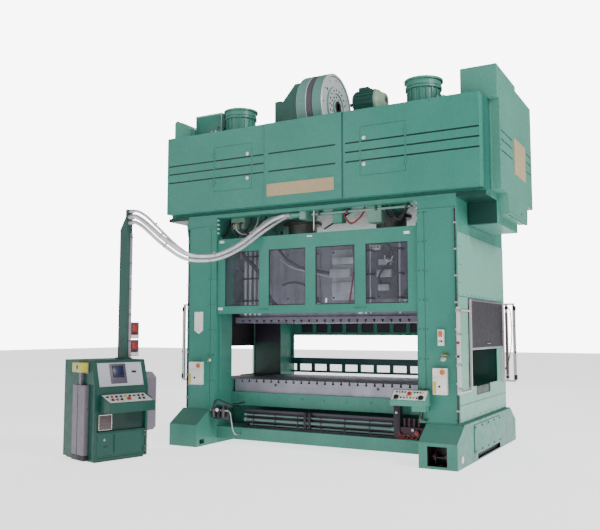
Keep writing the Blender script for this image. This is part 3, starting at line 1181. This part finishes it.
def column_box_details():
    b = Build("column_box_fittings", "frame", "white_paint")
    y = face_y - 0.09
    for x0, x1, z0, z1, stop_x in (
            (2.124, 2.333, 1.034, 1.423, 2.275), (-2.386, -2.125, 1.034, 1.430, -2.175)):
        # gasket line, lid and its screws, label strip, knob and the stop button's collar
        b.box((x0 + 0.003, y + 0.012, z0 - 0.001), (x1 - 0.003, y + 0.016, z1 + 0.001), "screw", 0.001)
        b.box((x0 + 0.006, y - 0.006, z0 + 0.006), (x1 - 0.006, y + 0.001, z1 - 0.125), "white", 0.004)
        b.screws(grid((x0 + 0.02, x1 - 0.02), y - 0.006, (z0 + 0.02, z1 - 0.14)), FRONT, 0.006)
        b.box((x0 + 0.012, y - 0.0075, z0 + 0.015), (x0 + 0.055, y - 0.0058, z0 + 0.19), "yellow", 0.001)
        b.turned(((x0 + x1) / 2, y - 0.006, z0 + 0.12), FRONT, [
            (0, 0.018), (0.004, 0.018), (0.005, 0.014), (0.014, 0.013), (0.014, 0)], "button_black")
        b.turned((stop_x, y, 1.364), FRONT, [
            (0, 0.044), (0.003, 0.044), (0.005, 0.041), (0.005, 0.024), (0, 0.024)], "yellow", 32)
    # plate, knob and lamp of the upper box on the right
    y = face_y - 0.07
    b.box((2.213, y - 0.004, 1.885), (2.280, y + 0.001, 1.975), "orange")
    b.turned((2.262, y, 1.822), FRONT, [
        (0, 0.017), (0.004, 0.017), (0.006, 0.012), (0.018, 0.010), (0.019, 0)],
             "button_black", 20)
    b.turned((2.225, y, 1.822), FRONT, [(0, 0.012), (0.003, 0.012), (0.007, 0.007), (0.008, 0)], "red", 18)
    b.screws(grid(2.246, y, (1.77, 1.985)), FRONT, 0.005)
    # key switch's collar and the left upright's brass plug
    b.turned((2.275, face_y - 0.06, 1.56), FRONT, [
        (0, 0.03), (0.004, 0.029), (0.008, 0.02), (0.014, 0.018), (0.014, 0)], "galvanised", 28)
    b.turned((-1.992, face_y - 0.05, 1.466), FRONT, [
        (0, 0.02), (0.006, 0.019), (0.010, 0.012), (0.02, 0.01), (0.02, 0)], "brass", 20)
    b.screws(grid(-2.2415, face_y - 0.012, (2.005, 2.305)), FRONT, 0.006)
    # lid of the green junction box under the crown
    b.box((-0.212, -1.374, 3.857), (-0.098, -1.370, 3.985), "pipe_green")
    b.screws(grid(-0.115, -1.374, (3.875, 3.965)), FRONT, 0.006)
    b.finish()


# ---------- operator panel ----------

def operator_panel_details():
    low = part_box("operator_panel")[0]
    face = Matrix.Translation((low.x, low.y, 0.94)) @ Matrix.Rotation(math.radians(45), 4, "X")
    out = out_of(face)
    b = Build("operator_panel_plate", "frame", "white_paint")
    # white overlay in strips that leave the buttons free
    for x_a, x_b, y_a, y_b in (
            (0.012, 0.046, 0.014, 0.198), (0.124, 0.436, 0.014, 0.096), (0.514, 0.548, 0.014, 0.198),
            (0.046, 0.246, 0.100, 0.198), (0.314, 0.514, 0.100, 0.198), (0.046, 0.124, 0.014, 0.021),
            (0.436, 0.514, 0.014, 0.021), (0.046, 0.246, 0.0975, 0.1), (0.314, 0.514, 0.0975, 0.1),
            (0.246, 0.314, 0.164, 0.198)):
        b.box((x_a, y_a, 0), (x_b, y_b, 0.003), "white", 0.0008, face)
    # collars, which the buttons pass through when they are pressed
    for x, y, r, wide, look in (
            (0.085, 0.060, 0.0375, 0.007, "galvanised"), (0.475, 0.060, 0.0375, 0.007, "galvanised"),
            (0.280, 0.130, 0.022, 0.013, "yellow")):
        b.turned(face @ Vector((x, y, 0)), out, [
            (0, r + wide), (0.004, r + wide - 0.001), (0.005, r + 0.001), (0, r)], look, 36)
    # selectors and lamps in the upper row, buttons in the lower one
    looks = ("button_black", "red", "button_black", "button_black",
             "lamp_green", "button_black", "red", "yellow")
    for x, look in zip((0.07, 0.115, 0.16, 0.205, 0.355, 0.40, 0.445, 0.49), looks):
        b.turned(face @ Vector((x, 0.160, 0.003)), out, [
            (0, 0.015), (0.003, 0.015), (0.004, 0.012), (0.012, 0.0115), (0.014, 0.009), (0.014, 0)],
            look, 20)
    for i in range(6):
        b.turned(face @ Vector((0.16 + 0.05 * i, 0.055, 0.003)), out, [
            (0, 0.014), (0.003, 0.014), (0.004, 0.011), (0.010, 0.0105), (0.012, 0)],
            "red" if i == 4 else "button_black", 20)
    # screws on the front, and the cable back to the upright
    b.screws(grid((low.x + 0.03, low.x + 0.53), low.y, (0.88, 0.92)), FRONT, 0.005)
    b.hose([(low.x + 0.42, -1.52, 0.79), (low.x + 0.42, -1.52, 0.72), (low.x + 0.44, -1.49, 0.66),
            (low.x + 0.50, -1.455, 0.64), (column_in + 0.05, -1.44, 0.66),
            (column_in + 0.06, -1.435, 0.78)], 0.012)
    b.finish()


# ---------- pipe rack ----------

def pipe_rack_details():
    b = Build("pipe_rack_fittings", "frame", "dark_steel")
    y, x0, x1 = RACK_Y, -1.48, 1.345
    # clamps round the pipes, and caps at their ends
    for x, (z, r) in itertools.product(spread(-1.28, 0.92, 0.44), RACK_PIPES):
        b.turned((x - 0.012, y, z), RIGHT, [(0, r), (0, r + 0.004), (0.024, r + 0.004), (0.024, r)], "screw")
    for x, z, r, out in (
            (x0, 0.43, 0.026, LEFT), (x1, 0.43, 0.026, RIGHT), (x0, 0.516, 0.014, LEFT),
            (x0 + 0.12, 0.352, 0.014, LEFT)):
        cap = [(-0.05, r * 1.35), (-0.004, r * 1.35), (0, r * 1.2), (0, 0)]
        b.turned((x, y, z), out, cap, "pipe_green", 6,
                 smooth=False)
    # bolts of the back plate, and two straps
    b.bolts(grid(spread(x0 + 0.05, 1.28, 0.22), -1.02, 0.555), FRONT, 0.009)
    for x in (-0.28, -0.20):
        b.box((x, y - 0.035, 0.33), (x + 0.05, y + 0.06, 0.60), "black", 0.004)
    # upright box at the end: lid and knob
    b.box((1.36, y - 0.067, 0.31), (1.44, y - 0.060, 0.80), "black", 0.003)
    b.turned((1.40, y - 0.067, 0.70), FRONT, [
        (0, 0.022), (0.01, 0.02), (0.014, 0.012), (0.014, 0)], "galvanised")
    # manifold: unions, hoses to the pipes, and the rims of the shut-off knob and the gauge
    for k in range(4):
        x = 1.51 + 0.08 * k
        b.turned((x, y + 0.01, 0.585), UP, [
            (0, 0.030), (0.008, 0.030), (0.012, 0.024), (0.026, 0.022), (0.028, 0)],
            "dull_red" if k % 2 else "screw", 6, smooth=False)
        b.union((x, y - 0.040, 0.345), FRONT, 0.018, 0.012, 0.013, 0.022)
        b.hose([(x, y - 0.055, 0.345), (x, y - 0.085, 0.335), (x - 0.03, y - 0.09, 0.310),
                (x - 0.10 - 0.03 * k, y - 0.08, 0.300), (1.44, y - 0.072, 0.34 + 0.02 * k)],
               0.009, "dull_red")
    b.turned((1.74, y - 0.089, 0.405), FRONT, [
        (0, 0.035), (0, 0.038), (0.004, 0.040), (0.012, 0.040), (0.016, 0.035)], "dull_red", 28)
    b.turned((1.66, y - 0.040, 0.44), FRONT, [
        (0, 0.026), (0.020, 0.026), (0.024, 0.023), (0.022, 0.020), (0.022, 0)], "galvanised", 28)
    b.finish()


def air_unit():
    """Filter, regulator and hoses beside the left front foot."""
    b = Build("left_air_unit", "frame", "dark_steel")
    x0, y = -1.975, -1.42
    b.box((x0 + 0.03, y + 0.05, 0.44), (-1.62, y + 0.065, 0.68), "screw", 0.004)
    b.rod((x0, y, 0.60), (-1.60, y, 0.60), 0.016, "galvanised")
    for x, r, look in ((-1.90, 0.040, "screw"), (-1.80, 0.036, "black"), (-1.70, 0.034, "screw")):
        b.turned((x, y, 0.47), UP, [
            (0, r * 0.5), (0.012, r), (0.10, r), (0.11, r * 1.15), (0.16, r * 1.15), (0.165, r * 0.6),
            (0.20, r * 0.55), (0.20, 0)], look, 28)
    b.turned((-1.80, y - 0.042, 0.61), FRONT, [
        (0, 0.03), (0.012, 0.03), (0.014, 0.026), (0.012, 0)], "white")
    b.hose([(-1.60, y, 0.60), (-1.55, y - 0.01, 0.56), (-1.52, y - 0.01, 0.42), (-1.51, y + 0.02, 0.28),
            (-1.50, y + 0.08, 0.20), (-1.50, -1.21, 0.18)], 0.012, "galvanised")
    b.hose([(-1.90, y, 0.67), (-1.88, y - 0.01, 0.74), (-1.80, y, 0.78), (-1.70, y + 0.04, 0.74),
            (-1.62, y + 0.14, 0.70), (-1.60, -0.92, 0.70)], 0.014)
    b.finish()


# ---------- console and mast ----------

PANEL = CONSOLE @ Matrix.Translation((0, 0, 1.11)) @ Matrix.Rotation(math.atan2(0.39, 0.11), 4, "X")
SHELF = CONSOLE @ Matrix.Translation((0, -0.28, 0.90)) @ Matrix.Rotation(math.atan2(0.11, 0.28), 4, "X")
console_left, console_right, console_front = (CONSOLE.to_3x3() @ Vector(way) for way in (LEFT, RIGHT, FRONT))


def console_panel_details():
    b = Build("console_screen", "frame", "black_button")
    # bezel over its plate, with the screen in its upper part and flat keys below
    b.box((0.284, 0.056, 0.0052), (0.566, 0.366, 0.0142), "bezel", 0.004, PANEL)
    b.box((0.326, 0.150, 0.0142), (0.524, 0.334, 0.0158), "black", 0.002, PANEL)
    b.box((0.342, 0.166, 0.0158), (0.508, 0.318, 0.0168), "screen", 0.001, PANEL)
    for i in range(6):
        b.box((0.320 + 0.036 * i, 0.084, 0.0142), (0.346 + 0.036 * i, 0.108, 0.0170), "bezel", 0.002, PANEL)
    # small dark tag with its three knobs
    b.box((0.668, 0.216, 0.0072), (0.752, 0.250, 0.0085), "black", 0.001, PANEL)
    r, h = 0.007, 0.006
    for x in (0.685, 0.710, 0.735):
        b.turned(PANEL @ Vector((x, 0.233, 0.0085)), out_of(PANEL), [
            (0, r * 1.25), (h * 0.2, r * 1.25), (h * 0.25, r), (h * 0.9, r * 0.94), (h, r * 0.8), (h, 0)],
            "button_black", 22)
    b.screws([PANEL @ Vector(p) for p in grid((0.095, 0.845), (0.032, 0.372), 0.005)], out_of(PANEL), 0.006)
    b.finish()
    b = Build("console_shelf_buttons", "frame", "black_button")
    black = "button_black"
    up, height, pitch = out_of(SHELF), 0.004, 0.078
    for i, look in enumerate((black, "red", black, black, "yellow", black, "red", black, black)):
        b.turned(SHELF @ Vector((0.150 + pitch * i, 0.190, height)), up, [
            (0, 0.024), (0.004, 0.024), (0.005, 0.0165), (0.015, 0.0155), (0.0185, 0.0145), (0.0185, 0)],
            look)
    for i in (0, 1, 2, 6, 7):
        b.turned(SHELF @ Vector((0.190 + pitch * i, 0.090, height)), up, [
            (0, 0.027), (0.004, 0.027), (0.005, 0.0185), (0.018, 0.0175), (0.0205, 0.0165), (0.0205, 0)],
            "red" if i == 1 else black)
    # collar of the stop button
    b.turned(SHELF @ Vector((0.470, 0.090, height)), up, [
        (0, 0.042), (0.003, 0.042), (0.005, 0.039), (0.005, 0.024), (0, 0.022)], "yellow", 32)
    b.screws([SHELF @ Vector(p) for p in grid((0.115, 0.82), (0.03, 0.262), height)], up, 0.006)
    b.finish()


def console_front_details():
    b = Build("console_trims", "frame", "green_paint")
    c = CONSOLE
    # white-framed window in the recess, with its reddish-brown pane and three bars
    b.strips(border(0.100, 0.330, 0.468, 0.702, 0.010), 0.042, 0.051, "white", 0.003, c)
    b.box((0.110, 0.048, 0.478), (0.320, 0.058, 0.692), "brown", 0.002, c)
    for z in (0.535, 0.585, 0.635):
        b.box((0.125, 0.0455, z), (0.305, 0.0485, z + 0.008), "bezel", 0.001, c)
    # beads up both front edges and along the cabinet's top
    for x in (0.004, 0.904):
        b.box((x, -0.004, 0.06), (x + 0.032, 0, 1.10), "console", 0.002, c)
    b.box((0.02, 0.124, 1.520), (0.92, 0.128, 1.5275), "console", 0.002, c)
    # screws on both sides of the cabinet; the trunking hides the front ones on the left
    for places, out in (
            (grid(0, 0.88, (0.12, 1.44)), console_left),
            (grid(0.94, (0.16, 0.88), (0.12, 1.44)), console_right)):
        b.screws([c @ Vector(p) for p in places], out, 0.008)
    # rear door with its hinges, louvres and handle
    b.box((0.05, 0.930, 0.10), (0.89, 0.936, 1.46), "console", 0.003, c)
    for k in range(7):
        b.box((0.30, 0.936, 0.25 + 0.035 * k), (0.64, 0.943, 0.262 + 0.035 * k), "console", 0.003, c)
    b.box((0.10, 0.936, 0.78), (0.125, 0.952, 0.92), "galvanised", 0.004, c)
    for z in (0.2, 0.75, 1.3):
        b.rod(c @ Vector((0.893, 0.938, z)), c @ Vector((0.893, 0.938, z + 0.08)), 0.009, "screw")
    # bolts of the mast's foot plate
    b.bolts([c @ Vector(p) for p in grid((0.788, 0.924), (0.482, 0.718), 1.538)], UP, 0.009)
    b.finish()
    b = Build("console_door_fittings", "console_door_leaf", "steel")
    b.box((0.345, -0.008, 0.12), (0.355, 0.004, 0.40), "leaf", 0.003, c)
    b.turned(c @ Vector((0.18, 0.004, 0.33)), console_front, [
        (0, 0.018), (0.004, 0.018), (0.006, 0.012), (0.012, 0.011), (0.012, 0)], "galvanised")
    b.strips(border(0.06, 0.88, 0.078, 0.422, 0.012), 0.001, 0.005, "leaf", 0.002, c)
    b.finish()


def console_side_details():
    b = Build("console_side_fittings", "frame", "grey_paint")
    c = CONSOLE
    # trunking: dark slot, black foot, cover joints
    b.box((-0.0715, 0.379, 0.10), (-0.0600, 0.389, 1.13), "black", 0.001, c)
    b.box((-0.0730, 0.171, 0.0205), (-0.0004, 0.539, 0.100), "black", 0.004, c)
    for z in (0.42, 0.78, 1.12):
        b.box((-0.0720, 0.172, z), (-0.0004, 0.538, z + 0.008), "grey", 0.002, c)
    # isolator: back plate, light stripes, black handle
    b.box((-0.014, 0.185, 1.325), (-0.0004, 0.515, 1.505), "grey", 0.003, c)
    for v in (0.225, 0.275, 0.325, 0.375, 0.425, 0.470):
        b.box((-0.1125, v, 1.352), (-0.1095, v + 0.012, 1.484), "panel", 0.001, c)
    b.box((-0.1165, 0.33, 1.39), (-0.1095, 0.37, 1.45), "button_black", 0.003, c)
    # side box: lid seams, screws and plate
    for v in (0.058, 0.696):
        b.box((0.945, v, 0.44), (1.13, v + 0.006, 1.22), "grey", 0.002, c)
    b.screws([c @ Vector(p) for p in grid(1.1403, (0.11, 0.65), (0.55, 0.80, 1.05))], console_right, 0.008)
    b.box((1.1403, 0.20, 0.62), (1.1425, 0.34, 0.98), "panel", 0.001, c)
    # cables from the side box down the cabinet
    for v in (0.16, 0.25, 0.34):
        cable = smooth_path([
            (1.02, v, 0.402), (1.02, v, 0.30), (1.00, v + 0.02, 0.18), (0.965, v + 0.03, 0.10),
            (0.955, v + 0.03, 0.035)])
        b.tube([c @ p for p in cable], 0.013, "rubber")
        b.turned(c @ Vector((1.02, v, 0.402)), DOWN, [
            (0, 0.02), (0.016, 0.02), (0.018, 0.016), (0.03, 0.015)],
                 "screw", 6, smooth=False)
    # levelling feet
    for p in grid((0.10, 0.84), (0.10, 0.80), 0):
        b.turned(c @ Vector(p), UP, [(0, 0.03), (0.008, 0.03), (0.010, 0.012), (0.030, 0.012)], "screw")
    b.finish()


def mast_details():
    b = Build("mast_fittings", "frame", "galvanised")
    c = CONSOLE
    # cable strip up the mast's front edge, its clamps, and bolts along the front
    b.box((0.872, 0.478, 1.545), (0.914, 0.500, 3.60), "fitting_light", 0.003, c)
    for z in spread(1.80, 3.52, 0.43):
        b.box((0.866, 0.474, z), (0.918, 0.500, z + 0.022), "grey", 0.002, c)
    for z in (2.30, 2.86):
        b.box((0.884, 0.470, z), (0.906, 0.478, z + 0.030), "white", 0.002, c)
    b.screws([c @ Vector(p) for p in grid(0.83, 0.500, spread(1.70, 3.75, 0.34))], console_front, 0.007)
    for z in (1.56, 1.85):
        # lamp unit: ring, lens, and the white and black strips below
        b.turned(c @ Vector((1.000, 0.510, z + 0.175)), console_front, [
            (0, 0.062), (0.004, 0.062), (0.006, 0.056), (0.003, 0.052), (0.003, 0)], "screw", 36)
        b.turned(c @ Vector((1.000, 0.508, z + 0.175)), console_front, [
            (0, 0.050), (0.006, 0.045), (0.010, 0.030), (0.012, 0)], "red", 32)
        b.box((0.935, 0.505, z + 0.006), (1.065, 0.5105, z + 0.060), "white", 0.002, c)
        b.box((0.950, 0.5035, z + 0.070), (1.050, 0.5100, z + 0.098), "black", 0.002, c)
        places = [c @ Vector(p) for p in grid((0.930, 1.070), 0.510, (z + 0.02, z + 0.25))]
        b.screws(places, console_front, 0.005)
    b.finish()


# ---------- stage ----------

WHITE = (1, 1, 1, 1)
AMBIENT, BACKDROP, GLOW = 0.30, 8.0, 1.5
KEY, FILL, BACK = 1700, 480, 700


def floor():
    """Wide white floor that glows slightly."""
    s = Shader("floor", srgb(240, 240, 240), 0.8)
    s.to("Base Color", s.ramp(s.noise(0.6, 3), [(0.3, srgb(240, 240, 240)), (0.7, srgb(246, 246, 246))]))
    s.bsdf.inputs["Emission Color"].default_value = WHITE
    s.bsdf.inputs["Emission Strength"].default_value = GLOW
    mesh = bpy.data.meshes.new("floor")
    span = 60
    corners = [(-span, -span, 0), (span, -span, 0), (span, span, 0), (-span, span, 0)]
    mesh.from_pydata(corners, [], [(0, 1, 2, 3)])
    mesh.materials.append(s.mat)
    plane = bpy.data.objects.new("floor", mesh)
    bpy.context.scene.collection.objects.link(plane)


def room():
    """Soft white room: bright to look at, dimmer as a light."""
    world = bpy.data.worlds.new("studio")
    bpy.context.scene.world = world
    world.use_nodes = True
    tree = world.node_tree
    lit = tree.nodes["Background"]
    seen = tree.nodes.new("ShaderNodeBackground")
    for background, strength in ((lit, AMBIENT), (seen, BACKDROP)):
        background.inputs["Color"].default_value = WHITE
        background.inputs["Strength"].default_value = strength
    which = tree.nodes.new("ShaderNodeLightPath")
    mix = tree.nodes.new("ShaderNodeMixShader")
    tree.links.new(which.outputs["Is Camera Ray"], mix.inputs[0])
    tree.links.new(lit.outputs[0], mix.inputs[1])
    tree.links.new(seen.outputs[0], mix.inputs[2])
    tree.links.new(mix.outputs[0], tree.nodes["World Output"].inputs["Surface"])


def lamp(name, place, target, size, power):
    """Round soft lamp that points at a place."""
    data = bpy.data.lights.new(name, "AREA")
    data.shape = "DISK"
    data.size = size
    data.energy = power
    light = bpy.data.objects.new(name, data)
    light.location = place
    light.rotation_euler = (Vector(target) - Vector(place)).to_track_quat("-Z", "Y").to_euler()
    bpy.context.scene.collection.objects.link(light)


for add in (
        upright_fasteners, upright_seams, bed_details, bolster_details, crown_fasteners, crown_top_details,
        hatch_latches, plate_screws, gear_cover_details, cabinet_details, drum_details,
        flywheel_details, motor_details,
        guard_hood_details, guard_trims, rear_guard_trims, side_guard_trims, side_rail_details,
        slide_front_details, undercrown_details, column_box_details, operator_panel_details,
        pipe_rack_details, air_unit, console_panel_details, console_front_details, console_side_details,
        mast_details, floor, room):
    add()
lamp("key", (14, -5, 11), (0, 0, 2.5), 7, KEY)
lamp("fill", (-9, -16, 8), (0, 0, 2), 9, FILL)
lamp("back", (-6, 12, 11), (0, 0, 3), 8, BACK)
